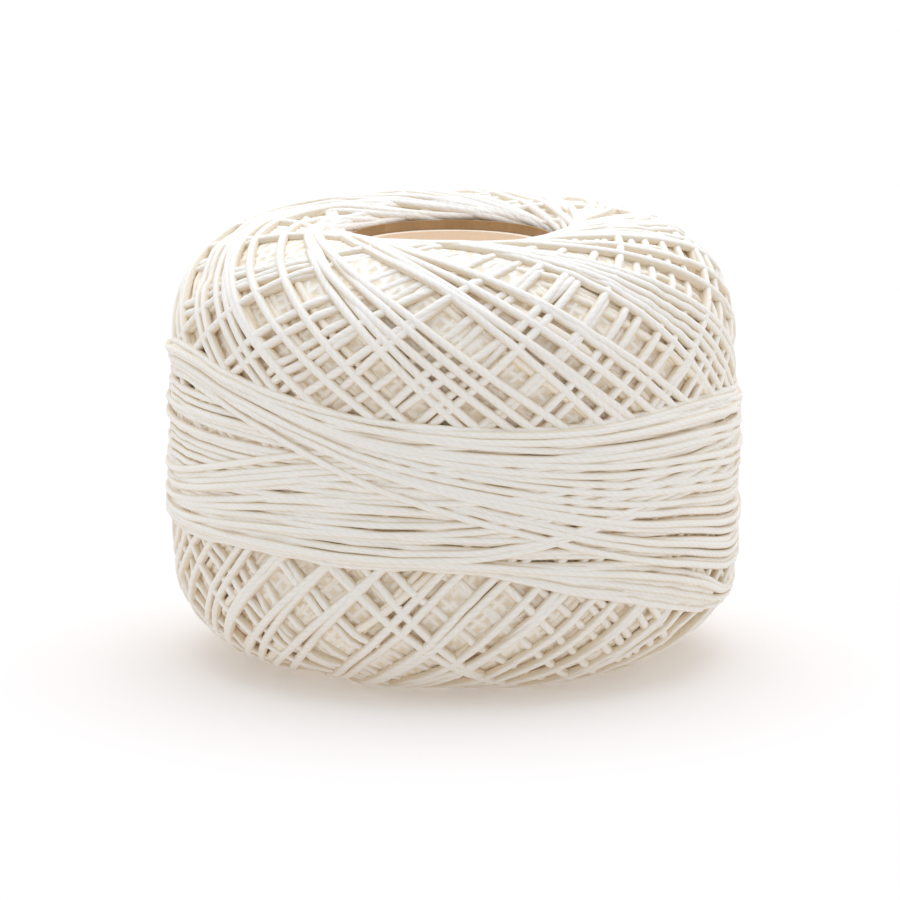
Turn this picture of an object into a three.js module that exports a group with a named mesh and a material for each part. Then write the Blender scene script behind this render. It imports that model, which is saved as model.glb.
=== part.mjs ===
// A ball of cotton crochet thread, wound crosswise on a cardboard tube and standing on its end.
// Millimetres, +Z up. The origin is the middle of the face it rests on, and the front is towards -Y.

import * as THREE from 'three';

// Overall form of the wound thread
const ballHeight = 55.3;
const ballRadius = 35.2;
const midHeight = ballHeight / 2;
const crownRadius = 17;
const footRadius = 21;
const topCorner = { height: 15.5, roundness: 2.4 };
const footCorner = { height: 12.4, roundness: 2.0 };

// The bore through the winding, with a rounded lip at each end
const boreRadius = 13.0;
const topLipDrop = 1.0;
const topLipDepth = 2.6;
const footLipRise = 1.6;
const footRingInner = 15.0;

// Crossed main turns: one family leans down to the right, the other up to the right
const turnsAround = 24;
const pointsPerTurn = 3;
const windingAngle = THREE.MathUtils.degToRad(38);
const upperTurnSag = 0.15;
const lowerTurnDepth = 0.95;
const wellDepth = 1.8;
const latticeTopRadius = 21;
const latticeFootRadius = 24;

// The waist band of near-level turns, and the slanting last turns over it
const bandRadius = 36.0;
const bandGroove = 0.55;
const bandEdgeFade = 0.9;
const ribbonRise = 0.5;
const ribbonMiddle = -2.6;
const ribbonTilt = 12.5;
const ribbonEdgeFade = 1.6;

// Band edges above and below the middle of the ball, by direction from the front
const bandEdges = [
  { turn: -180, top: 8.5, foot: -11.5 },
  { turn: -135, top: 9.5, foot: -10.4 },
  { turn: -90, top: 12.2, foot: -10.2 },
  { turn: -60, top: 12.8, foot: -9.9 },
  { turn: -30, top: 9.8, foot: -9.9 },
  { turn: 0, top: 7.9, foot: -10.5 },
  { turn: 30, top: 7.7, foot: -14.9 },
  { turn: 60, top: 8.5, foot: -19.3 },
  { turn: 90, top: 6.9, foot: -19.4 },
  { turn: 135, top: 7.2, foot: -15.4 },
  { turn: 180, top: 8.5, foot: -11.5 },
];
const bandTopMean = 9;
const bandFootMean = -13;
const bandShiftReach = 17;

// The cardboard tube
const tubeOuterRadius = 12.7;
const tubeInnerRadius = 11.1;
const tubeRecess = 2.9;
const tubeFootRecess = 2.4;
const tubeEdgeRound = 0.35;
const tubeSegments = 48;

const columnsAround = turnsAround * pointsPerTurn;
const columnAngle = (2 * Math.PI) / columnsAround;
const profileSteps = 240;

function smoothStep(value) {
  const t = THREE.MathUtils.clamp(value, 0, 1);
  return t * t * (3 - 2 * t);
}

// A quarter of a rounded corner: share 0 is its flat end, share 1 the upright side
function cornerPoint(innerRadius, corner, share) {
  const angle = (share * Math.PI) / 2;
  const power = 2 / corner.roundness;
  return {
    r: innerRadius + (ballRadius - innerRadius) * Math.sin(angle) ** power,
    drop: corner.height * (1 - Math.cos(angle) ** power),
  };
}

// The outline from the crown down the side to the foot, with its length measured from mid height
function makeOutline() {
  const points = [];
  for (let i = 0; i <= profileSteps; i++) {
    const p = cornerPoint(crownRadius, topCorner, i / profileSteps);
    points.push({ r: p.r, z: ballHeight - p.drop });
  }
  points.push({ r: ballRadius, z: midHeight });
  const middle = points.length - 1;
  for (let i = profileSteps; i >= 0; i--) {
    const p = cornerPoint(footRadius, footCorner, i / profileSteps);
    points.push({ r: p.r, z: p.drop });
  }
  let along = 0;
  let phase = 0;
  points[0].along = 0;
  points[0].phase = 0;
  for (let i = 1; i < points.length; i++) {
    const a = points[i - 1];
    const b = points[i];
    const step = Math.hypot(b.r - a.r, b.z - a.z);
    along += step;
    phase += step / (((a.r + b.r) / 2) * Math.tan(windingAngle));
    b.along = along;
    b.phase = phase;
  }
  const zero = points[middle].along;
  for (const p of points) {
    p.along = zero - p.along;
  }
  return points;
}

const outline = makeOutline();

// The outline where one of its measures passes a value, between two of its points
function outlineWhere(key, value) {
  const rising = outline[outline.length - 1][key] > outline[0][key];
  let low = 0;
  let high = outline.length - 1;
  while (high - low > 1) {
    const mid = (low + high) >> 1;
    if (outline[mid][key] > value === rising) {
      high = mid;
    } else {
      low = mid;
    }
  }
  const a = outline[low];
  const b = outline[high];
  const share = THREE.MathUtils.clamp((value - a[key]) / (b[key] - a[key]), 0, 1);
  const length = Math.hypot(b.r - a.r, b.z - a.z);
  return {
    r: a.r + (b.r - a.r) * share,
    z: a.z + (b.z - a.z) * share,
    along: a.along + (b.along - a.along) * share,
    phase: a.phase + (b.phase - a.phase) * share,
    outR: (a.z - b.z) / length,
    outZ: (b.r - a.r) / length,
  };
}

// Where the outline first reaches a radius on the top, or last has it on the foot
function outlineAtRadius(radius, fromTop) {
  const points = fromTop ? outline : [...outline].reverse();
  return points.find((p) => p.r >= radius);
}

function bandEdge(turn, key) {
  const halfTurn = Math.PI;
  const wrapped = THREE.MathUtils.euclideanModulo(turn + halfTurn, 2 * halfTurn) - halfTurn;
  const degrees = THREE.MathUtils.radToDeg(wrapped);
  const next = Math.max(1, bandEdges.findIndex((row) => row.turn >= degrees));
  const a = bandEdges[next - 1];
  const b = bandEdges[next];
  const share = smoothStep((degrees - a.turn) / (b.turn - a.turn));
  return a[key] + (b[key] - a[key]) * share;
}

// The rows of the winding bend with the band's edges, and less the further they are from it
function shiftedAlong(along, turn) {
  const topShift = bandEdge(turn, 'top') - bandTopMean;
  const footShift = bandEdge(turn, 'foot') - bandFootMean;
  if (along > bandTopMean) {
    return along + topShift * smoothStep(1 - (along - bandTopMean) / bandShiftReach);
  }
  if (along < bandFootMean) {
    return along + footShift * smoothStep(1 - (bandFootMean - along) / bandShiftReach);
  }
  const share = (along - bandFootMean) / (bandTopMean - bandFootMean);
  return along + footShift + (topShift - footShift) * share;
}

// How far a point of the winding lies below the outline, from the turns that pass through it
function windingDepth(fallingTurn, risingTurn, upperHalf) {
  const onFalling = THREE.MathUtils.euclideanModulo(fallingTurn, pointsPerTurn) === 0;
  const onRising = THREE.MathUtils.euclideanModulo(risingTurn, pointsPerTurn) === 0;
  if (onFalling && onRising) {
    return 0;
  }
  const onOuterTurn = upperHalf ? onFalling : onRising;
  const onInnerTurn = upperHalf ? onRising : onFalling;
  if (onOuterTurn) {
    return upperTurnSag;
  }
  return onInnerTurn ? lowerTurnDepth : wellDepth;
}

// How far the band stands proud of the outline, with a groove at every other row
function bandHeight(turn, along, row) {
  const top = bandEdge(turn, 'top');
  const foot = bandEdge(turn, 'foot');
  const inside = Math.min(top - along, along - foot);
  if (inside < -bandEdgeFade / 2) {
    return null;
  }
  const ribbonEdge = ribbonMiddle - ribbonTilt * Math.sin(turn);
  const ribbon = ribbonRise * smoothStep((along - ribbonEdge) / ribbonEdgeFade);
  const groove = row % 2 === 0 ? 0 : bandGroove;
  const edge = smoothStep((inside + bandEdgeFade) / (2 * bandEdgeFade));
  return (bandRadius - ballRadius + ribbon - groove) * edge;
}

function placePoint(r, z, turn) {
  return [r * Math.sin(turn), -r * Math.cos(turn), z];
}

// One row of the crossed winding; every other row is turned by half a column
function latticeRow(row) {
  const half = row % 2;
  const phase = (row * columnAngle) / 2;
  const along = outlineWhere('phase', phase).along;
  const points = [];
  for (let i = 0; i < columnsAround; i++) {
    const turn = (i + half / 2) * columnAngle;
    const spot = outlineWhere('along', shiftedAlong(along, turn));
    const proud = bandHeight(turn, spot.along, row);
    const falling = i - (row - half) / 2;
    const rising = i + (row + half) / 2;
    const depth = windingDepth(falling, rising, spot.along > 0);
    const out = proud === null ? -depth : proud;
    points.push(placePoint(spot.r + spot.outR * out, spot.z + spot.outZ * out, turn));
  }
  return { half, points };
}

function plainRow(r, z, half) {
  const points = [];
  for (let i = 0; i < columnsAround; i++) {
    points.push(placePoint(r, z, (i + half / 2) * columnAngle));
  }
  return { half, points };
}

// Rows joined in order into one closed body that runs over the top, down the side and up the bore
function rowsToGeometry(rows) {
  const positions = rows.flatMap((row) => row.points.flat());
  const triangles = [];
  rows.forEach((row, k) => {
    const below = rows[(k + 1) % rows.length];
    const start = k * columnsAround;
    const startBelow = ((k + 1) % rows.length) * columnsAround;
    for (let i = 0; i < columnsAround; i++) {
      const next = (i + 1) % columnsAround;
      const a = start + i;
      const aNext = start + next;
      const b = startBelow + i;
      const bNext = startBelow + next;
      if (row.half === 0 && below.half === 1) {
        triangles.push(a, b, aNext, aNext, b, bNext);
      } else {
        triangles.push(a, b, bNext, a, bNext, aNext);
      }
    }
  });
  const geometry = new THREE.BufferGeometry();
  geometry.setAttribute('position', new THREE.Float32BufferAttribute(positions, 3));
  geometry.setIndex(triangles);
  geometry.computeVertexNormals();
  return geometry;
}

function woundBallGeometry() {
  const firstPhase = outlineAtRadius(latticeTopRadius, true).phase;
  const lastPhase = outlineAtRadius(latticeFootRadius, false).phase;
  const firstRow = Math.ceil((2 * firstPhase) / columnAngle);
  const lastRow = Math.floor((2 * lastPhase) / columnAngle);
  const lipTop = ballHeight - topLipDrop;
  const crownStart = (crownRadius + boreRadius) / 2;
  const rows = [
    plainRow(boreRadius, lipTop - topLipDepth, 0),
    plainRow(boreRadius + 0.25, lipTop - 0.9, 1),
    plainRow(crownStart - 0.6, lipTop + 0.55, 0),
    plainRow(crownRadius, ballHeight, 1),
    plainRow((crownRadius + latticeTopRadius) / 2, ballHeight - 0.2, 0),
  ];
  for (let row = firstRow; row <= lastRow; row++) {
    rows.push(latticeRow(row));
  }
  const lastHalf = lastRow % 2;
  rows.push(plainRow(footRadius, 0, 1 - lastHalf));
  rows.push(plainRow(footRingInner, 0, lastHalf));
  rows.push(plainRow(boreRadius, footLipRise, 1 - lastHalf));
  return rowsToGeometry(rows);
}

function coreTubeGeometry() {
  const top = ballHeight - tubeRecess;
  const foot = tubeFootRecess;
  const round = tubeEdgeRound;
  const section = [
    [tubeInnerRadius + round, foot],
    [tubeOuterRadius - round, foot],
    [tubeOuterRadius, foot + round],
    [tubeOuterRadius, top - round],
    [tubeOuterRadius - round, top],
    [tubeInnerRadius + round, top],
    [tubeInnerRadius, top - round],
    [tubeInnerRadius, foot + round],
    [tubeInnerRadius + round, foot],
  ];
  const geometry = new THREE.LatheGeometry(
    section.map(([r, z]) => new THREE.Vector2(r, z)),
    tubeSegments
  );
  geometry.rotateX(Math.PI / 2);
  return geometry;
}

const cottonThread = new THREE.MeshStandardMaterial({ color: 0xece8dc, roughness: 0.9, metalness: 0 });
const brownCardboard = new THREE.MeshStandardMaterial({ color: 0xb08a5c, roughness: 0.85, metalness: 0 });

const woundBall = new THREE.Mesh(woundBallGeometry(), cottonThread);
woundBall.name = 'wound_ball';

const coreTube = new THREE.Mesh(coreTubeGeometry(), brownCardboard);
coreTube.name = 'core_tube';

const ball = new THREE.Group();
ball.name = 'crochet_thread_ball';
ball.add(woundBall, coreTube);

export default ball;
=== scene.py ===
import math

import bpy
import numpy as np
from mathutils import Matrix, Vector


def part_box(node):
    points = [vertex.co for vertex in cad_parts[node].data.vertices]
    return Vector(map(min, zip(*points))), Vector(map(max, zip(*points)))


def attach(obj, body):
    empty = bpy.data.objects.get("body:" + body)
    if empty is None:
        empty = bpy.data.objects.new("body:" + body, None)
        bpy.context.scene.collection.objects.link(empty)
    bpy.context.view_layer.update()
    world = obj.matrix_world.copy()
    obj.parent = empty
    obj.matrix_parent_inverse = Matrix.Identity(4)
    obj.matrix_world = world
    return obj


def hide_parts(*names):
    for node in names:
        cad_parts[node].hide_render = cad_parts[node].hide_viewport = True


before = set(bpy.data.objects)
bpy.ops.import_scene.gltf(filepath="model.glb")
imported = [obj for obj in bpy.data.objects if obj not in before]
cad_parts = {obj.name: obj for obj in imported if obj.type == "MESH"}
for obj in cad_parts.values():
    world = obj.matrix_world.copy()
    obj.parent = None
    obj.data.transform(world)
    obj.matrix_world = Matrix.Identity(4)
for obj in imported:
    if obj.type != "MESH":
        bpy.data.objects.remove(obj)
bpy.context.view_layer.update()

# A ball of cream cotton crochet thread on its cardboard tube, standing on end on a light table.
#
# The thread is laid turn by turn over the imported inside, as the winding machine lays it: first
# the crossed layers, then the waist band, each turn resting on the ones below it. Sizes are
# worked in millimetres and turned to metres when a mesh is made. The front faces -Y.
#
# A place on the ball is given by its turn, the angle round the ball from the front to the right,
# by its place along the outline, measured up from mid height, and by its rise, the height of a
# thread's middle over the innermost surface.

MM = 0.001

# Sizes read from the solids
ball_low, ball_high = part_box("wound_ball")
tube_low, tube_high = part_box("core_tube")
BALL_HEIGHT = ball_high[2] / MM
BAND_RADIUS = (ball_high[0] - ball_low[0]) / 2 / MM
BODY_RADIUS = BAND_RADIUS - 1.05
MID_HEIGHT = BALL_HEIGHT / 2
TUBE_TOP = tube_high[2] / MM
TUBE_FOOT = tube_low[2] / MM

# Camera: a long lens a little above the ball, as the picture was taken
PICTURE_SIDE = 900
SENSOR_WIDTH = 36.0
CAMERA_DISTANCE = 900.0
CAMERA_RISE = math.radians(11.3)
PIXELS_PER_MM = 8.0
BALL_CENTRE_PIXEL = (453.5, 432.0)

# The thread: four twisted plies, pressed a little flat where it lies, and tighter in the band.
# A cotton fibre is some 0.02 wide, too fine to show, so it is drawn wider. Over its own length
# it drifts the given number of its own widths round the thread.
THREAD_WIDTH = 1.16
THREAD_RADIUS = THREAD_WIDTH / 2
BAND_THREAD_WIDTH = 0.98
FLATTENING = 0.94
PLY_COUNT = 4
PLY_SPACING = 1.35
PLY_GROOVE = 0.1
FIBRE_LENGTH = 2.4
FIBRE_WIDTH = 0.07
FIBRE_DRIFT = 14.0
SLUB_LENGTH = 16.67

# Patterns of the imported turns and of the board, each as the size of one repeat
PACKED_RIDGE_ROUND = 2.5
PACKED_RIDGE_UP = 2.0
PACKED_RIDGE_HEIGHT = 0.3
PACKED_SWAY = 7.14
BOARD_STREAK = (1.11, 1.11, 3.85)
BOARD_MOTTLE = 4.55
BOARD_GRAIN_HEIGHT = 0.08

# The ball's outline: crown ring, rounded corners, foot ring and the lips of the bore.
# A corner is its height and how square it is, where 2 is a plain ellipse.
CROWN_RADIUS = 17.0
FOOT_RADIUS = 21.0
BORE_RADIUS = 13.0
TOP_CORNER = (15.5, 2.4)
FOOT_CORNER = (12.4, 2.0)
TOP_LIP_DEPTH = 3.4
FOOT_LIP_DEPTH = 3.0
LIP_SHARE = 0.3
LIP_POINTS = 40
CORNER_POINTS = 160
SIDE_POINTS = 60

# The crossed layers: how deep they are, how steeply the turns run and where they turn back.
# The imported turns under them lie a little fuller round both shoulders, where turns crowd.
LAYERS_DEPTH = 3.4
PACKED_RISE = 2.75
SHOULDER_RADII = (17.0, 21.0, 25.0, 31.0)
SHOULDER_RISE = 0.35
FIRST_PASS = 29
SECOND_PASS = 31
PAIRED_AT = (75, 20, -32)
CLOSEST_TURNS = 1.4
UPPER_SLOPE = math.tan(math.radians(38))
LOWER_SLOPE = math.tan(math.radians(47))
TOP_RINGS = (13.7, 16.6)
FOOT_RINGS = (14.5, 21.5)
HOLE_REACH = 20.0
HOLE_BLEND = 5.0
FRONT_DIP = 0.9
DIP_TURN = math.radians(-15)

# How finely the winding is worked out
CONTACT_RADIUS = 0.3
WALK_STEP = 0.4
CELL = 0.25

# Guide lines of the waist band: direction from the front in degrees, and height from mid ball
TOP_EDGE = [(-180, 8.5), (-130, 9.5), (-88, 11.8), (-72, 13.0), (-62, 12.7), (-53, 11.6),
            (-41, 10.4), (-31, 9.5), (-22, 8.5), (-12, 7.9), (3, 7.3), (27, 7.1), (42, 7.6),
            (58, 8.0), (72, 7.6), (88, 6.4), (130, 6.6), (180, 8.5)]
LEVEL_FOOT = [(-180, -8.0), (-90, -8.6), (-20, -9.0), (0, -9.6), (13, -10.0), (25, -10.6),
              (39, -11.2), (52, -12.2), (73, -14.6), (120, -10.5), (180, -8.0)]
LEVEL_TOP = [(-180, 7.0), (-90, 8.0), (-50, 8.0), (-25, 7.3), (3, 6.6), (27, 6.5), (58, 7.3),
             (90, 5.8), (130, 6.0), (180, 7.0)]
FOOT_EDGE = [(-180, -11.5), (-120, -9.8), (-70, -9.8), (-41, -9.2), (-22, -9.8), (0, -10.0),
             (10, -10.9), (17, -12.2), (25, -13.7), (38, -15.6), (48, -17.3), (58, -18.9),
             (73, -19.6), (100, -18.5), (135, -15.0), (180, -11.5)]
FOOT_UPPER = [(-180, -9.0), (-60, -8.0), (-20, -8.6), (0, -8.8), (13, -9.4), (25, -10.2),
              (39, -11.2), (48, -12.2), (60, -14.2), (73, -17.2), (100, -15.4), (135, -12.0),
              (180, -9.0)]
FAN_FOOT = [(-180, -6.0), (-120, -8.5), (-73, -8.8), (-41, -8.4), (-22, -9.1), (-1, -9.2),
            (7, -8.9), (17, -7.9), (30, -6.0), (60, -3.0), (100, -2.0), (150, -4.0),
            (180, -6.0)]
FAN_UPPER = [(-180, 2.0), (-120, -2.0), (-73, -2.4), (-54, 0.0), (-42, 1.8), (-26, 4.0),
             (-10, 5.0), (0, 5.4), (60, 5.0), (120, 4.0), (180, 2.0)]
RIBBON_FOOT = [(-180, 3.0), (-120, 7.0), (-80, 8.9), (-68, 9.2), (-59, 8.5), (-41, 5.6),
               (-27, 2.5), (-17, 0.1), (1, -3.5), (17, -6.5), (28, -8.7), (41, -11.0),
               (52, -12.5), (73, -15.3), (110, -12.5), (150, -4.0), (180, 3.0)]

# The band's sets of turns in the order they are laid, between two guide lines each.
# Wander is along the ball and weave in depth; highest and sunk set how proud a set lies.
BAND_TOP = LAYERS_DEPTH + 1.15
BAND_SETS = {
    "level_band_turns": {"low": LEVEL_FOOT, "high": LEVEL_TOP, "count": 20, "wander": 0.25,
                         "weave": 0.4, "softness": 0.1, "highest": BAND_TOP - 0.25, "sunk": 0.0},
    "foot_band_turns": {"low": FOOT_EDGE, "high": FOOT_UPPER, "count": 8, "wander": 0.2,
                        "weave": 0.8, "softness": 0.15, "highest": BAND_TOP - 0.2, "sunk": 0.0},
    "fanned_band_turns": {"low": FAN_FOOT, "high": FAN_UPPER, "count": 13, "wander": 0.35,
                          "weave": 1.0, "softness": 0.15, "highest": BAND_TOP - 0.05,
                          "sunk": 0.05},
    "slanting_band_turns": {"low": RIBBON_FOOT, "high": TOP_EDGE, "count": 16, "wander": 0.3,
                            "weave": 1.0, "softness": 0.15, "highest": BAND_TOP + 0.05,
                            "sunk": 0.05},
}
CROWDED_SPACING = 0.75
CROWDED_DEPTH = 0.8
TUCK_LENGTH = 12.0
TUCK_DEPTH = 2.6

# The core tube: a brown wall with a paler lining that ends lower down
TUBE_SHIFT = -0.3
WALL_RADII = (12.55, 12.9)
LINING_RADII = (11.6, 12.5)
LINING_RECESS = 1.2


def colour(hex_text):
    """An sRGB hex colour as the linear RGBA that shaders use."""
    parts = [int(hex_text[i:i + 2], 16) / 255 for i in (1, 3, 5)]
    linear = [p / 12.92 if p <= 0.04045 else ((p + 0.055) / 1.055) ** 2.4 for p in parts]
    return (*linear, 1.0)


def make_camera():
    """The camera looks at the ball's middle, set off so that it lands on its pixel."""
    data = bpy.data.cameras.new("table_camera")
    data.sensor_width = SENSOR_WIDTH
    data.lens = SENSOR_WIDTH * CAMERA_DISTANCE * PIXELS_PER_MM / PICTURE_SIDE
    data.clip_start = 0.05
    data.clip_end = 20
    camera = bpy.data.objects.new("table_camera", data)
    bpy.context.scene.collection.objects.link(camera)
    towards = Vector((0, -math.cos(CAMERA_RISE), math.sin(CAMERA_RISE)))
    up = Vector((0, math.sin(CAMERA_RISE), math.cos(CAMERA_RISE)))
    right = Vector((1, 0, 0))
    off_right = (BALL_CENTRE_PIXEL[0] - PICTURE_SIDE / 2) / PIXELS_PER_MM
    off_down = (BALL_CENTRE_PIXEL[1] - PICTURE_SIDE / 2) / PIXELS_PER_MM
    aim = Vector((0, 0, MID_HEIGHT)) - right * off_right + up * off_down
    camera.location = (aim + towards * CAMERA_DISTANCE) * MM
    camera.rotation_euler = (-towards).to_track_quat("-Z", "Y").to_euler()
    bpy.context.scene.camera = camera


make_camera()


# Materials


def add_node(tree, kind, settings=None, **links):
    """Adds a shader node, sets its options and values, and links its inputs.

    A link is named after the input, or i0, i1 and so on where inputs share a name.
    """
    node = tree.nodes.new(kind)
    for key, value in (settings or {}).items():
        if isinstance(key, int) or key in node.inputs:
            node.inputs[key].default_value = value
        else:
            setattr(node, key, value)
    for key, source in links.items():
        name = int(key[1:]) if key[0] == "i" and key[1:].isdigit() else key.replace("_", " ")
        tree.links.new(source, node.inputs[name])
    return node


def new_material(name):
    """A material with a plain shader, and its node tree and shader to build on."""
    material = bpy.data.materials.new(name)
    material.use_nodes = True
    tree = material.node_tree
    tree.nodes.clear()
    shader = add_node(tree, "ShaderNodeBsdfPrincipled")
    add_node(tree, "ShaderNodeOutputMaterial", Surface=shader.outputs["BSDF"])
    return material, tree, shader


def blend(tree, share, first, second):
    """A colour that goes from the first to the second as the share goes from 0 to 1."""
    mix = add_node(tree, "ShaderNodeMix", {"data_type": "RGBA"}, Factor=share)
    mix.inputs[6].default_value = colour(first)
    mix.inputs[7].default_value = colour(second)
    return mix.outputs[2]


def plied_cotton(name, light, shade):
    """Cotton thread, spun and plied, in natural cream. Painted shade: the crest that faces out is
    painted lighter, and the flanks and the slanting grooves between the plies are painted a warm shade,
    where the shade between touching threads and plies falls. Fine fibres and slow thick and thin places
    break up the light, and the fuzz gives a pale soft sheen."""
    material, tree, shader = new_material(name)
    run = add_node(tree, "ShaderNodeUVMap", {"uv_map": "thread_run"})
    split = add_node(tree, "ShaderNodeSeparateXYZ", i0=run.outputs[0])
    along, around = split.outputs["X"], split.outputs["Y"]

    # Slanting grooves between the plies, for the bump and for painted shade in the grooves
    turns = add_node(tree, "ShaderNodeMath", {"operation": "MULTIPLY", 1: PLY_COUNT}, i0=around)
    lead = add_node(tree, "ShaderNodeMath", {"operation": "DIVIDE", 1: PLY_SPACING}, i0=along)
    phase = add_node(tree, "ShaderNodeMath", {"operation": "ADD"},
                     i0=turns.outputs[0], i1=lead.outputs[0])
    swing = add_node(tree, "ShaderNodeMath", {"operation": "PINGPONG", 1: 0.5},
                     i0=phase.outputs[0])
    ply = add_node(tree, "ShaderNodeMapRange",
                   {"interpolation_type": "SMOOTHERSTEP", "From Min": 0.0, "From Max": 0.3},
                   Value=swing.outputs[0])

    # Fibres drawn along the thread with the twist
    across = add_node(tree, "ShaderNodeMath",
                      {"operation": "MULTIPLY", 1: math.pi * THREAD_WIDTH / FIBRE_WIDTH},
                      i0=around)
    drawn = add_node(tree, "ShaderNodeMath", {"operation": "DIVIDE", 1: FIBRE_LENGTH}, i0=along)
    leaned = add_node(tree, "ShaderNodeMath", {"operation": "MULTIPLY_ADD", 1: FIBRE_DRIFT},
                      i0=drawn.outputs[0], i2=across.outputs[0])
    fibre_place = add_node(tree, "ShaderNodeCombineXYZ", X=drawn.outputs[0],
                           Y=leaned.outputs[0])
    fibres = add_node(tree, "ShaderNodeTexNoise", {"Scale": 1.0, "Detail": 2.0},
                      Vector=fibre_place.outputs[0])

    # Slow thick and thin places
    slub_place = add_node(tree, "ShaderNodeMath", {"operation": "DIVIDE", 1: SLUB_LENGTH},
                          i0=along)
    slub_point = add_node(tree, "ShaderNodeCombineXYZ", X=slub_place.outputs[0])
    slub = add_node(tree, "ShaderNodeTexNoise", {"Scale": 1.0, "Detail": 1.0},
                    Vector=slub_point.outputs[0])
    slubbed = add_node(tree, "ShaderNodeMath", {"operation": "MULTIPLY_ADD", 1: 0.5, 2: 0.75},
                       i0=slub.outputs["Fac"])

    # Painted shade: the crest that faces out is lighter, the flanks and the ply grooves darker,
    # standing in for the shade between touching threads and plies
    lap = add_node(tree, "ShaderNodeMath", {"operation": "MULTIPLY", 1: 2 * math.pi}, i0=around)
    outward = add_node(tree, "ShaderNodeMath", {"operation": "SINE"}, i0=lap.outputs[0])
    crest = add_node(tree, "ShaderNodeMapRange",
                     {"interpolation_type": "SMOOTHSTEP", "From Min": 0.4, "From Max": 0.95},
                     Value=outward.outputs[0])
    plied = add_node(tree, "ShaderNodeMath", {"operation": "MULTIPLY_ADD", 1: 0.22, 2: 0.78},
                     i0=ply.outputs[0])
    rounded = add_node(tree, "ShaderNodeMath", {"operation": "MULTIPLY"},
                       i0=plied.outputs[0], i1=crest.outputs[0])
    fibrous = add_node(tree, "ShaderNodeMath", {"operation": "MULTIPLY_ADD", 1: 0.5, 2: -0.22},
                       i0=fibres.outputs["Fac"])
    toned = add_node(tree, "ShaderNodeMath", {"operation": "ADD", "use_clamp": True},
                     i0=rounded.outputs[0], i1=fibrous.outputs[0])
    share = add_node(tree, "ShaderNodeMath", {"operation": "MULTIPLY", "use_clamp": True},
                     i0=toned.outputs[0], i1=slubbed.outputs[0])
    tree.links.new(blend(tree, share.outputs[0], shade, light), shader.inputs["Base Color"])

    relief = add_node(tree, "ShaderNodeMath", {"operation": "MULTIPLY_ADD", 1: 0.25},
                      i0=fibres.outputs["Fac"], i2=ply.outputs[0])
    bump = add_node(tree, "ShaderNodeBump", {"Strength": 0.25, "Distance": PLY_GROOVE * MM},
                    Height=relief.outputs[0])
    tree.links.new(bump.outputs[0], shader.inputs["Normal"])
    shader.inputs["Roughness"].default_value = 0.72
    shader.inputs["IOR"].default_value = 1.53
    shader.inputs["Specular IOR Level"].default_value = 0.3
    shader.inputs["Sheen Weight"].default_value = 0.25
    shader.inputs["Sheen Roughness"].default_value = 0.5
    shader.inputs["Sheen Tint"].default_value = colour("#fffaf0")
    return material


def packed_cotton():
    """Cotton thread packed under more turns, too deep to tell apart: crossing ridges that sway a
    little, in a warm cream that is partly the cotton's own colour and partly painted glow for light
    bounced between the turns, with painted shade making the hollows between the ridges darker."""
    material, tree, shader = new_material("packed_cotton_turns")
    spot = add_node(tree, "ShaderNodeTexCoord")
    split = add_node(tree, "ShaderNodeSeparateXYZ", i0=spot.outputs["Object"])
    turn = add_node(tree, "ShaderNodeMath", {"operation": "ARCTAN2"},
                    i0=split.outputs["X"], i1=split.outputs["Y"])
    wobble = add_node(tree, "ShaderNodeTexNoise", {"Scale": 1 / (PACKED_SWAY * MM), "Detail": 1.0},
                      Vector=spot.outputs["Object"])
    ridges = []
    round_pace = 2 * math.pi * BODY_RADIUS / PACKED_RIDGE_ROUND
    up_pace = 2 * math.pi / (PACKED_RIDGE_UP * MM)
    for lean in (1, -1):
        across = add_node(tree, "ShaderNodeMath",
                          {"operation": "MULTIPLY", 1: lean * round_pace}, i0=turn.outputs[0])
        climb = add_node(tree, "ShaderNodeMath", {"operation": "MULTIPLY_ADD", 1: up_pace},
                         i0=split.outputs["Z"], i2=across.outputs[0])
        swayed = add_node(tree, "ShaderNodeMath", {"operation": "MULTIPLY_ADD", 1: 9.0},
                          i0=wobble.outputs["Fac"], i2=climb.outputs[0])
        ridges.append(add_node(tree, "ShaderNodeMath", {"operation": "SINE"},
                               i0=swayed.outputs[0]))
    upper = add_node(tree, "ShaderNodeMath", {"operation": "MAXIMUM"},
                     i0=ridges[0].outputs[0], i1=ridges[1].outputs[0])
    share = add_node(tree, "ShaderNodeMapRange", {"From Min": -0.9, "From Max": 0.9},
                     Value=upper.outputs[0])
    # Painted shade in the hollows: the darker warm colour goes where the ridges dip
    tree.links.new(blend(tree, share.outputs[0], "#f3e5cb", "#fefaf2"),
                   shader.inputs["Base Color"])
    bump = add_node(tree, "ShaderNodeBump", {"Strength": 0.7, "Distance": PACKED_RIDGE_HEIGHT * MM},
                    Height=share.outputs[0])
    tree.links.new(bump.outputs[0], shader.inputs["Normal"])
    shader.inputs["Roughness"].default_value = 0.9
    shader.inputs["Specular IOR Level"].default_value = 0.1
    return material


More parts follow.
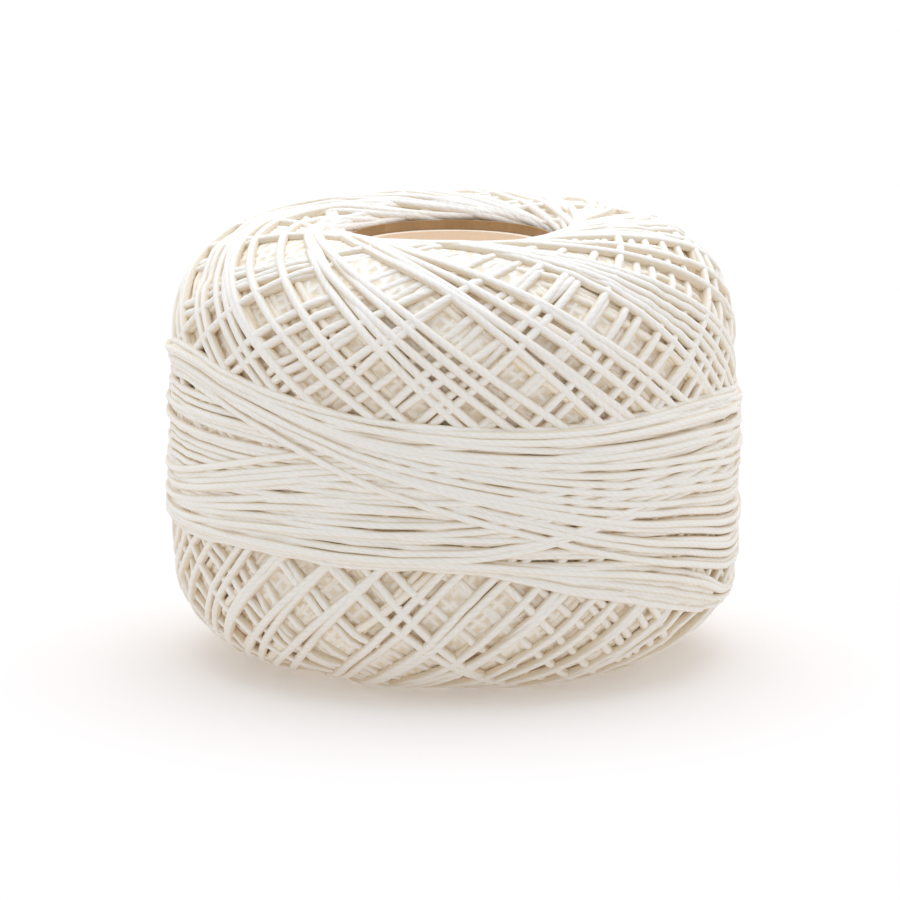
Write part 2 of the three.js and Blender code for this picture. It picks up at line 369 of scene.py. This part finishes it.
def wound_board(name, light, shade):
    """Kraft board wound in a spiral and glued: matt, with paler streaks where its fibres run up
    the tube, and soft mottling where the glue has soaked in."""
    material, tree, shader = new_material(name)
    spot = add_node(tree, "ShaderNodeTexCoord")
    stretch = add_node(tree, "ShaderNodeMapping", {"Scale": [1 / (size * MM) for size in BOARD_STREAK]},
                       Vector=spot.outputs["Object"])
    fleck = add_node(tree, "ShaderNodeTexNoise", {"Scale": 1.0, "Detail": 3.0},
                     Vector=stretch.outputs[0])
    blot = add_node(tree, "ShaderNodeTexNoise", {"Scale": 1 / (BOARD_MOTTLE * MM), "Detail": 2.0},
                    Vector=spot.outputs["Object"])
    soaked = add_node(tree, "ShaderNodeMath", {"operation": "MULTIPLY", 1: 0.5},
                      i0=blot.outputs["Fac"])
    share = add_node(tree, "ShaderNodeMath", {"operation": "MULTIPLY_ADD", 1: 0.7},
                     i0=fleck.outputs["Fac"], i2=soaked.outputs[0])
    tree.links.new(blend(tree, share.outputs[0], shade, light), shader.inputs["Base Color"])
    bump = add_node(tree, "ShaderNodeBump", {"Strength": 0.5, "Distance": BOARD_GRAIN_HEIGHT * MM},
                    Height=fleck.outputs["Fac"])
    tree.links.new(bump.outputs[0], shader.inputs["Normal"])
    shader.inputs["Roughness"].default_value = 0.88
    shader.inputs["Specular IOR Level"].default_value = 0.2
    return material


# The ball's outline, from the top lip of the bore over the crown and down to the foot lip


def ball_outline(depth):
    """Radius and height along the middle of the threads that lie a depth below the outside."""
    sink = THREAD_RADIUS + depth
    top = BALL_HEIGHT - sink
    side = BODY_RADIUS - sink
    bore = BORE_RADIUS + THREAD_RADIUS + depth * LIP_SHARE
    lip = np.linspace(0, math.pi / 2, LIP_POINTS)[:-1]
    corner = np.linspace(0, math.pi / 2, CORNER_POINTS)

    def rounded(inner, height, roundness):
        power = 2 / roundness
        radius = inner + (side - inner) * np.sin(corner) ** power
        drop = (height - depth * 0.5) * (1 - np.cos(corner) ** power)
        return radius, drop

    top_radius, top_drop = rounded(CROWN_RADIUS, *TOP_CORNER)
    foot_radius, foot_rise = rounded(FOOT_RADIUS, *FOOT_CORNER)
    straight = np.linspace(top - top_drop[-1], sink + foot_rise[-1], SIDE_POINTS + 2)[1:-1]
    radius = np.concatenate([
        CROWN_RADIUS - (CROWN_RADIUS - bore) * np.cos(lip),
        top_radius,
        np.full(SIDE_POINTS, side),
        foot_radius[::-1],
        (FOOT_RADIUS - (FOOT_RADIUS - bore) * np.cos(lip))[::-1],
    ])
    height = np.concatenate([
        top - TOP_LIP_DEPTH * (1 - np.sin(lip)),
        top - top_drop,
        straight,
        (sink + foot_rise)[::-1],
        (sink + FOOT_LIP_DEPTH * (1 - np.sin(lip)))[::-1],
    ])
    return radius, height


TOP_END = LIP_POINTS - 1 + CORNER_POINTS
FOOT_START = TOP_END + SIDE_POINTS
OUTER_R, OUTER_Z = ball_outline(0)
INNER_R, INNER_Z = ball_outline(LAYERS_DEPTH)
outline_run = np.concatenate([[0], np.cumsum(np.hypot(np.diff(OUTER_R), np.diff(OUTER_Z)))])
straight_side = slice(TOP_END, FOOT_START)
ALONG = np.interp(-MID_HEIGHT, -OUTER_Z[straight_side], outline_run[straight_side]) - outline_run
SLOPE_R = np.gradient(OUTER_R, outline_run)
SLOPE_Z = np.gradient(OUTER_Z, outline_run)


def outline_at(along):
    """Outer radius and height, inner radius and height, and the outward normal at a place."""
    def read(values):
        return np.interp(along, ALONG[::-1], values[::-1])

    length = np.hypot(read(SLOPE_R), read(SLOPE_Z))
    return (read(OUTER_R), read(OUTER_Z), read(INNER_R), read(INNER_Z),
            -read(SLOPE_Z) / length, read(SLOPE_R) / length)


def place(turn, along, rise):
    """Points in space for a turn, a place along the outline and a rise, and their normals."""
    outer_r, outer_z, inner_r, inner_z, normal_r, normal_z = outline_at(along)
    share = rise / LAYERS_DEPTH
    radius = inner_r + (outer_r - inner_r) * share
    height = inner_z + (outer_z - inner_z) * share
    points = np.stack([radius * np.sin(turn), -radius * np.cos(turn), height], axis=1)
    normals = np.stack([normal_r * np.sin(turn), -normal_r * np.cos(turn), normal_z], axis=1)
    return points, normals


def lengths_of(points):
    """The distance gone along a line of points."""
    steps = np.linalg.norm(np.diff(points, axis=0), axis=1)
    return np.concatenate([[0], np.cumsum(steps)])


def blurred(values, reach):
    """A running mean that keeps the ends where they are."""
    weights = np.hanning(2 * reach + 3)[1:-1]
    weights /= weights.sum()
    padded = np.concatenate([np.full(reach, values[0]), values, np.full(reach, values[-1])])
    return np.convolve(padded, weights, mode="valid")


# How the thread is laid


class Winding:
    """The surface of the thread laid so far, as rises on a grid of turn and place along."""

    def __init__(self):
        self.low = ALONG[-1]
        self.rows = int((ALONG[0] - ALONG[-1]) / CELL) + 2
        self.columns = int(2 * math.pi * BODY_RADIUS / CELL)
        self.turn_cell = 2 * math.pi / self.columns
        self.height = np.zeros((self.rows, self.columns))
        row_reach = int(CONTACT_RADIUS / CELL) + 1
        column_reach = int(CONTACT_RADIUS * BODY_RADIUS / (BORE_RADIUS * CELL)) + 1
        row_offset, column_offset = np.meshgrid(np.arange(-row_reach, row_reach + 1),
                                                np.arange(-column_reach, column_reach + 1))
        self.row_offset = row_offset.ravel()
        self.column_offset = column_offset.ravel()

    def cells(self, turn, along, radius):
        """The cells that a thread covers at each of its points, and how far inside they are."""
        row = (along - self.low) / CELL
        column = turn / self.turn_cell
        near_row = np.rint(row)[:, None] + self.row_offset
        near_column = np.rint(column)[:, None] + self.column_offset
        row_gap = (near_row - row[:, None]) * CELL
        column_gap = (near_column - column[:, None]) * self.turn_cell * radius[:, None]
        inside = CONTACT_RADIUS ** 2 - row_gap ** 2 - column_gap ** 2
        row_index = np.clip(near_row, 0, self.rows - 1).astype(int)
        column_index = near_column.astype(int) % self.columns
        return row_index, column_index, inside

    def support(self, turn, along, radius):
        """How high a thread's middle must be to rest on what lies under it."""
        rows, columns, inside = self.cells(turn, along, radius)
        lift = self.height[rows, columns] + np.sqrt(np.maximum(inside, 0))
        return np.where(inside > 0, lift, -1).max(axis=1)

    def lay(self, turn, along, radius, rise):
        """Adds a thread to the surface."""
        rows, columns, inside = self.cells(turn, along, radius)
        top = rise[:, None] + np.sqrt(np.maximum(inside, 0))
        keep = inside > 0
        np.maximum.at(self.height, (rows[keep], columns[keep]), top[keep])

    def rest(self, turn, along, softness, highest, sunk=0.0):
        """Rise of a thread on its path: tight over the crossings, a little sunk between them."""
        radius = outline_at(along)[0]
        points, normals = place(turn, along, np.full(len(turn), LAYERS_DEPTH))
        length = lengths_of(points)
        pull = np.gradient(np.gradient(points, length, axis=0), length, axis=0)
        bend = blurred(np.clip(-(pull * normals).sum(axis=1), 0.004, 0.2), 6)
        need = self.support(turn, along, radius)
        tight = pulled_tight(length, need, bend)
        loose = np.minimum(blurred(need, 4), tight)
        rise = np.minimum(tight * (1 - softness) + loose * softness, highest) - sunk
        self.lay(turn, along, radius, rise)
        return rise


def pulled_tight(length, need, bend):
    """The lowest rise of a thread under tension that stays over what it rests on."""
    curve = np.concatenate([[0], np.cumsum((bend[1:] + bend[:-1]) / 2 * np.diff(length))])
    sag = np.concatenate([[0], np.cumsum((curve[1:] + curve[:-1]) / 2 * np.diff(length))])
    flat = need - sag
    kept = []
    for i in range(len(length)):
        while len(kept) > 1:
            a, b = kept[-2], kept[-1]
            cross = ((length[b] - length[a]) * (flat[i] - flat[a])
                     - (flat[b] - flat[a]) * (length[i] - length[a]))
            if cross < 0:
                break
            kept.pop()
        kept.append(i)
    return np.interp(length, length[kept], flat[kept]) + sag


# The crossed layers


def half_turn(turn_radius, advance, upper):
    """From a turning ring to the waist: places along the outline, and the angle gone round.

    The thread leaves its ring level and steepens to the winding's slope. The angle is stretched
    to the advance that the layer needs, where one is given.
    """
    sign = 1 if upper else -1
    rim = slice(0, TOP_END) if upper else slice(FOOT_START, len(ALONG))
    order = np.argsort(OUTER_R[rim])
    start = abs(np.interp(turn_radius, OUTER_R[rim][order], ALONG[rim][order]))
    root = np.linspace(0, math.sqrt(start), 300)
    along = sign * (start - root ** 2)
    radius = np.maximum(outline_at(along)[0], turn_radius * 1.0005)
    slope = (UPPER_SLOPE if upper else LOWER_SLOPE) * np.sqrt(1 - (turn_radius / radius) ** 3)
    rate = 2 * root / (radius * slope)
    rate[0] = rate[1]
    angle = np.concatenate([[0], np.cumsum((rate[1:] + rate[:-1]) / 2 * np.diff(root))])
    if advance is not None:
        angle *= advance / angle[-1]
    gone = lengths_of(place(angle, along, np.full(len(angle), LAYERS_DEPTH))[0])
    even = np.linspace(0, gone[-1], int(gone[-1] / WALK_STEP) + 1)
    return np.interp(even, gone, along), np.interp(even, gone, angle)


def waist_crossings(chance, paired_at):
    """Directions where one family of turns crosses the waist, and which pass each is from.

    The two passes have slightly different counts, so they drift against each other: turns lie
    in close pairs at one direction and evenly spread a quarter turn further on.
    """
    passes = [(np.arange(count) + chance.uniform(-0.07, 0.07, count)) * (2 * math.pi / count)
              for count in (FIRST_PASS, SECOND_PASS)]
    turns = np.concatenate(passes) + paired_at
    order = np.argsort(turns)
    turns = turns[order]
    for _ in range(12):
        gap = np.append(np.diff(turns), turns[0] + 2 * math.pi - turns[-1])
        push = np.maximum(CLOSEST_TURNS / BODY_RADIUS - gap, 0) / 2
        turns += np.roll(push, 1) - push
    return turns, order >= FIRST_PASS


def crossed_layer(winding, chance, paired_at, softness=0.25):
    """One layer of crossed turns, as two closed threads of quarter turns in order.

    In the upper half the turns that fall to the right lie over those that climb, and in the
    lower half the climbing turns lie on top.
    """
    falls, late_fall = waist_crossings(chance, paired_at)
    climbs, late_climb = waist_crossings(chance, paired_at)
    count = len(falls)
    top_skip, foot_skip = (
        int(round(half_turn(sum(rings) / 2, None, upper)[1][-1] * count / math.pi))
        for rings, upper in ((TOP_RINGS, True), (FOOT_RINGS, False)))
    while math.gcd(top_skip + foot_skip, count) != 2:
        foot_skip += 1

    def laid(half, ring_turn, sign):
        along, angle = half
        turn = ring_turn + sign * angle
        return np.stack([turn, along, winding.rest(turn, along, softness, 9.0)], axis=1)

    def laid_half(first, second, skip, rings, upper, late_first):
        """Lays one half of the ball: turns into the rings, then those out of them."""
        after = (np.arange(count) + skip) % count
        laps = (np.arange(count) + skip) // count
        reach = (second[after] + 2 * math.pi * laps - first) / 2
        spread = rings[0] + (rings[1] - rings[0]) * chance.uniform(0, 1, count) ** 1.6
        halves = [half_turn(*pair, upper) for pair in zip(spread, reach)]
        middle = first + reach
        below = [None] * count
        above = [None] * count
        for late in (False, True):
            for k in range(count):
                if late_first[k] == late:
                    below[k] = laid(halves[k], middle[k], -1)
        for k in range(count):
            above[after[k]] = laid(halves[k], middle[k], 1)
        return below, above

    upper_climbs, upper_falls = laid_half(climbs, falls, top_skip, TOP_RINGS, True, late_climb)
    lower_falls, lower_climbs = laid_half(falls, climbs, foot_skip, FOOT_RINGS, False, late_fall)
    threads = []
    for first in (0, 1):
        quarters = []
        index = first
        for _ in range(count // 2):
            climb = (index + foot_skip) % count
            quarters += [upper_falls[index], lower_falls[index][::-1],
                         lower_climbs[climb], upper_climbs[climb][::-1]]
            index = (climb + top_skip) % count
        threads.append(quarters)
    return threads


def settle(winding, layers):
    """Presses the crossed layers to the ball's outline, as the winding pull does.

    Near the hole the turns are evened out, and at the front they lie a little lower there.
    """
    crest = np.percentile(winding.height, 80, axis=1) - CONTACT_RADIUS
    crest = blurred(np.maximum(crest, 1.0), 10)
    press = LAYERS_DEPTH / crest
    row_along = winding.low + CELL * np.arange(winding.rows)

    def pressed(rise):
        over = np.maximum(rise - LAYERS_DEPTH + 0.2, 0)
        return rise - over + over / (1 + 2.0 * over)

    for threads in layers:
        for part in threads[0] + threads[1]:
            rise = pressed(part[:, 2] * np.interp(part[:, 1], row_along, press))
            near_hole = np.clip((HOLE_REACH - outline_at(part[:, 1])[0]) / HOLE_BLEND, 0, 1)
            facing = np.clip(np.cos(part[:, 0] - DIP_TURN), 0, 1) * (part[:, 1] > 0)
            eased = rise + (blurred(rise, 18) - rise) * near_hole
            part[:, 2] = eased - FRONT_DIP * facing * near_hole
    flat = (winding.height - CONTACT_RADIUS) * press[:, None]
    winding.height = pressed(flat) + CONTACT_RADIUS


# The waist band


def guide_height(guide, turn):
    """Height of a guide line at a turn, on a smooth closed curve through its points."""
    degrees = (np.degrees(turn) + 180) % 360 - 180
    at = np.array([point[0] for point in guide], float)
    value = np.array([point[1] for point in guide], float)
    at = np.concatenate([at[-3:-1] - 360, at, at[1:3] + 360])
    value = np.concatenate([value[-3:-1], value, value[1:3]])
    tangent = np.gradient(value, at)
    k = np.clip(np.searchsorted(at, degrees) - 1, 0, len(at) - 2)
    width = at[k + 1] - at[k]
    t = (degrees - at[k]) / width
    from_start = (2 * t ** 3 - 3 * t ** 2 + 1) * value[k]
    start_slope = (t ** 3 - 2 * t ** 2 + t) * width * tangent[k]
    from_end = (3 * t ** 2 - 2 * t ** 3) * value[k + 1]
    end_slope = (t ** 3 - t ** 2) * width * tangent[k + 1]
    return from_start + start_slope + from_end + end_slope


def band_set(winding, chance, low, high, count, wander, weave, softness, highest, sunk):
    """A set of near-level turns that climbs between two guide lines, as one open thread.

    Where the turns crowd together, two in three of them dive under the third. Both ends are
    tucked in under the turns beside them.
    """
    per_turn = int(2 * math.pi * BAND_RADIUS / WALK_STEP)
    total = per_turn * count
    turn = -math.pi + np.arange(total + 1) * (2 * math.pi / per_turn)
    share = np.arange(total + 1) / total
    spots = np.linspace(0, count * 9, total + 1)
    drift, dive = (blurred(np.interp(spots, np.arange(count * 9 + 1),
                                     chance.normal(0, 1, count * 9 + 1)), per_turn // 14)
                   for _ in range(2))
    bottom = guide_height(low, turn)
    top = guide_height(high, turn)
    edge_room = np.clip(np.minimum(share, 1 - share) * count, 0.25, 1)
    along = bottom + (top - bottom) * share + wander * drift * edge_room
    crowding = np.clip(1 - (top - bottom) / count / CROWDED_SPACING, 0, 1)
    rise = np.zeros(total + 1)
    for k in range(count):
        part = slice(k * per_turn, (k + 1) * per_turn + 1)
        deeper = sunk + weave * (chance.uniform(0, 0.15) + 0.22 * np.maximum(dive[part], 0))
        if k % 3:
            deeper = deeper + CROWDED_DEPTH * crowding[part]
        rise[part] = winding.rest(turn[part], along[part], softness, highest, deeper)
    from_end = np.minimum(np.arange(total + 1), total - np.arange(total + 1))
    tuck = np.clip(from_end * WALK_STEP / TUCK_LENGTH, 0, 1)
    rise -= (1 - tuck * tuck * (3 - 2 * tuck)) * TUCK_DEPTH
    return [np.stack([turn, along, rise], axis=1)]


# Meshes


def add_piece(name, mesh, material):
    """Shows a finished mesh in the scene."""
    mesh.materials.append(material)
    piece = bpy.data.objects.new(name, mesh)
    bpy.context.scene.collection.objects.link(piece)
    return piece


def thread_path(quarters, closed, step):
    """Even points and normals along joined quarters, with the rises eased at their joints."""
    rises = np.concatenate([part[:-1, 2] for part in quarters])
    joints = np.cumsum([len(part) - 1 for part in quarters])[:-1]
    overlap = 40
    if closed:
        rises = np.concatenate([rises[-overlap:], rises, rises[:overlap]])
        joints = np.concatenate([[0], joints, [len(rises) - 2 * overlap]]) + overlap
    near = np.zeros(len(rises))
    near[np.clip(joints, 0, len(rises) - 1)] = 1.0
    near = np.clip(np.convolve(near, np.hanning(33), mode="same"), 0, 1)
    rises = blurred(rises, 2) * (1 - near) + blurred(rises, 12) * near
    if closed:
        rises = rises[overlap:-overlap]
    turn = np.concatenate([part[:-1, 0] for part in quarters])
    along = np.concatenate([part[:-1, 1] for part in quarters])
    points, normals = place(turn, along, rises)
    if closed:
        points = np.concatenate([points, points[:1]])
        normals = np.concatenate([normals, normals[:1]])
    length = lengths_of(points)
    count = max(8, int(length[-1] / step))
    even = np.linspace(0, length[-1], count + 1)
    if closed:
        even = even[:-1]
    points = np.stack([np.interp(even, length, points[:, k]) for k in range(3)], axis=1)
    normals = np.stack([np.interp(even, length, normals[:, k]) for k in range(3)], axis=1)
    return points, normals, length[-1]


def thread_piece(name, quarters, closed, width, sides, step, material):
    """A round thread along its quarters, with plain ends where it is open.

    One map holds the distance along the thread and the share around it, for its finish. The
    other cuts the thread into rows that fill a square, for baking.
    """
    points, normals, length = thread_path(quarters, closed, step)
    count = len(points)
    if closed:
        ahead = np.roll(points, -1, axis=0) - np.roll(points, 1, axis=0)
    else:
        ahead = np.gradient(points, axis=0)
    ahead /= np.linalg.norm(ahead, axis=1)[:, None]
    side = np.cross(ahead, normals)
    side /= np.linalg.norm(side, axis=1)[:, None]
    out = np.cross(side, ahead)
    lap = np.arange(sides) * (2 * math.pi / sides)
    ring = (side[:, None, :] * np.cos(lap)[None, :, None]
            + out[:, None, :] * (np.sin(lap) * FLATTENING)[None, :, None])
    skin = (points[:, None, :] + ring * (width / 2)).reshape(-1, 3) * MM

    links = count if closed else count - 1
    i = np.repeat(np.arange(links), sides)
    j = np.tile(np.arange(sides), links)
    next_i = (i + 1) % count
    next_j = (j + 1) % sides
    corners = np.stack([i * sides + j, next_i * sides + j,
                        next_i * sides + next_j, i * sides + next_j], axis=1).ravel()
    sizes = np.full(len(i), 4)
    pace = length / links
    gone = np.stack([i, i + 1, i + 1, i], axis=1) * pace
    round_share = np.stack([j, j, j + 1, j + 1], axis=1) / sides
    run_map = np.stack([gone, round_share], axis=2).reshape(-1, 2)
    rows = math.ceil(math.sqrt(length / (math.pi * THREAD_WIDTH))) + 1
    row_length = length / (rows - 1)
    row = np.floor(gone[:, :1] / row_length)
    bake_map = np.stack([(gone - row * row_length) / (row_length + pace),
                         (row + 0.04 + 0.92 * round_share) / (rows + 1)],
                        axis=2).reshape(-1, 2)
    if not closed:
        first_end = np.arange(sides)[::-1]
        last_end = (count - 1) * sides + np.arange(sides)
        corners = np.concatenate([corners, first_end, last_end])
        sizes = np.append(sizes, [sides, sides])
        run_map = np.concatenate([run_map, np.zeros((2 * sides, 2))])
        bake_map = np.concatenate([bake_map, np.full((2 * sides, 2), 0.999)])

    mesh = bpy.data.meshes.new(name)
    mesh.vertices.add(len(skin))
    mesh.vertices.foreach_set("co", skin.ravel())
    mesh.loops.add(len(corners))
    mesh.loops.foreach_set("vertex_index", corners.astype(np.int32))
    mesh.polygons.add(len(sizes))
    mesh.polygons.foreach_set("loop_start", (np.cumsum(sizes) - sizes).astype(np.int32))
    mesh.update(calc_edges=True)
    mesh.polygons.foreach_set("use_smooth", np.ones(len(sizes), bool))
    for map_name, values in (("thread_run", run_map), ("OFBake", bake_map)):
        layer = mesh.uv_layers.new(name=map_name)
        layer.data.foreach_set("uv", values.ravel())
    mesh.validate()
    return add_piece(name, mesh, material)


def round_piece(name, points, closed, smooth, material):
    """A mesh round the axis from points by turn and then down its section, which may close."""
    turns, count = points.shape[:2]
    faces = []
    for i in range(turns):
        for j in range(count if closed else count - 1):
            next_i = (i + 1) % turns
            next_j = (j + 1) % count
            faces.append((i * count + j, i * count + next_j,
                          next_i * count + next_j, next_i * count + j))
    mesh = bpy.data.meshes.new(name)
    mesh.from_pydata((points.reshape(-1, 3) * MM).tolist(), [], faces)
    mesh.polygons.foreach_set("use_smooth", [smooth] * len(faces))
    mesh.update()
    return add_piece(name, mesh, material)


def turned(section, segments):
    """Points by turn and then down a section of radius and height."""
    lap = (np.arange(segments) * (2 * math.pi / segments))[:, None]
    radius, height = np.array(section, float).T[:, None, :]
    return np.stack([radius * np.sin(lap), -radius * np.cos(lap),
                     np.broadcast_to(height, (segments, len(section)))], axis=2)


# The parts


def make_ball():
    """All the thread of the ball, in the order it is wound."""
    chance = np.random.default_rng(11)
    winding = Winding()
    layers = [crossed_layer(winding, chance, math.radians(degrees)) for degrees in PAIRED_AT]
    settle(winding, layers)
    band = {name: band_set(winding, chance, **settings) for name, settings in BAND_SETS.items()}

    # The innermost layer stays under the imported turns, so only the outer two are shown
    # Painted shade: the second colour goes on the flanks and in the ply grooves of each thread
    cotton = plied_cotton("plied_cotton_thread", "#faf7f1", "#ebdfc9")
    # The deeper turns get a warmer copy of the thread colours with lighter flanks: painted warm glow
    # for light bounced between the turns deep in the ball
    deep_cotton_painted_glow = plied_cotton("plied_cotton_thread_deep_painted_glow", "#fbf4e7", "#f0e2c8")
    packed = packed_cotton()
    pieces = []
    for layer, name, sides, step, material in ((1, "middle_crossed_turns_", 7, 1.2, deep_cotton_painted_glow),
                                               (2, "outer_crossed_turns_", 10, 0.86, cotton)):
        for half, quarters in zip("ab", layers[layer]):
            pieces.append(thread_piece(name + half, quarters, True, THREAD_WIDTH, sides, step,
                                       material))
    for name, quarters in band.items():
        pieces.append(thread_piece(name, quarters, False, BAND_THREAD_WIDTH, 10, 0.9, cotton))

    fuller = np.interp(OUTER_R, SHOULDER_RADII, (0, SHOULDER_RISE, SHOULDER_RISE, 0))
    share = (PACKED_RISE + fuller) / LAYERS_DEPTH
    packed_r = INNER_R + (OUTER_R - INNER_R) * share
    packed_z = INNER_Z + (OUTER_Z - INNER_Z) * share
    section = np.stack([packed_r, packed_z], axis=1)[::4].tolist()
    section += [(BORE_RADIUS + 0.2, packed_z[-1] + 1), (BORE_RADIUS + 0.2, packed_z[0] - 1)]
    pieces.append(round_piece("packed_heart", turned(section, 96), True, True, packed))

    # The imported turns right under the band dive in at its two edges
    turn = np.arange(180) * math.radians(2)
    low = guide_height(LEVEL_FOOT, turn) + 1.0
    high = guide_height(LEVEL_TOP, turn) - 0.5
    down = []
    for share in np.linspace(1, 0, 9):
        rise = LAYERS_DEPTH + 0.3 - 1.1 * abs(2 * share - 1) ** 6
        down.append(place(turn, low + (high - low) * share, np.full(180, rise))[0])
    pieces.append(round_piece("packed_band", np.stack(down, axis=1), False, True, packed))

    for piece in pieces:
        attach(piece, "root")
        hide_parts("wound_ball")


def make_tube():
    """The core tube: a brown board wall and a paler lining, set a little to the left."""
    brown = wound_board("spiral_wound_kraft_board", "#bd9d76", "#967650")
    pale = wound_board("spiral_wound_lining_board", "#fff6e8", "#fae9ce")
    for name, (inside, outside), top, board in (
            ("tube_wall", WALL_RADII, TUBE_TOP, brown),
            ("tube_lining", LINING_RADII, TUBE_TOP - LINING_RECESS, pale)):
        section = [(outside, TUBE_FOOT), (inside, TUBE_FOOT), (inside, top), (outside, top)]
        piece = round_piece(name, turned(section, 128), True, False, board)
        piece.location.x = TUBE_SHIFT * MM
        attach(piece, "root")
        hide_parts("core_tube")


def make_table():
    """A white acrylic light table, which glows faintly and so softens the shadow at the foot."""
    acrylic, tree, shader = new_material("opal_acrylic_sheet")
    shader.inputs["Base Color"].default_value = colour("#cdc8c4")
    shader.inputs["Emission Color"].default_value = colour("#fffcf8")
    shader.inputs["Emission Strength"].default_value = 0.26
    shader.inputs["Roughness"].default_value = 0.9
    half = 3.0
    mesh = bpy.data.meshes.new("table")
    mesh.from_pydata([(-half, -half, 0), (half, -half, 0), (half, half, 0), (-half, half, 0)],
                     [], [(0, 1, 2, 3)])
    add_piece("table", mesh, acrylic)


def make_light():
    """A tent of white cloth, brighter and cooler overhead and at the back, and a soft lamp."""
    world = bpy.data.worlds.new("light_tent")
    world.use_nodes = True
    tree = world.node_tree
    tree.nodes.clear()
    around = add_node(tree, "ShaderNodeTexCoord")
    split = add_node(tree, "ShaderNodeSeparateXYZ", i0=around.outputs["Generated"])
    upward = add_node(tree, "ShaderNodeMath", {"operation": "MULTIPLY_ADD", 1: 1.0, 2: 0.38},
                      i0=split.outputs["Z"])
    back = add_node(tree, "ShaderNodeMath", {"operation": "MULTIPLY_ADD", 1: 0.24},
                    i0=split.outputs["Y"], i2=upward.outputs[0])
    glow = add_node(tree, "ShaderNodeBackground",
                    Color=blend(tree, split.outputs["Z"], "#fff8f0", "#edf4ff"),
                    Strength=back.outputs[0])
    add_node(tree, "ShaderNodeOutputWorld", Surface=glow.outputs[0])
    scene = bpy.context.scene
    scene.world = world
    lamp = bpy.data.lights.new("overhead_lamp", "SUN")
    lamp.energy = 1.3
    lamp.angle = math.radians(60)
    lamp.color = colour("#edf4ff")[:3]
    light = bpy.data.objects.new("overhead_lamp", lamp)
    light.rotation_euler = Vector((-0.05, -0.3, -1)).to_track_quat("-Z", "Y").to_euler()
    scene.collection.objects.link(light)
    # Pale cotton passes light on many times before it dies down between the turns
    scene.cycles.max_bounces = 16
    scene.cycles.diffuse_bounces = 14
    scene.view_settings.view_transform = "Standard"
    scene.view_settings.look = "None"


make_ball()
make_tube()
make_table()
make_light()
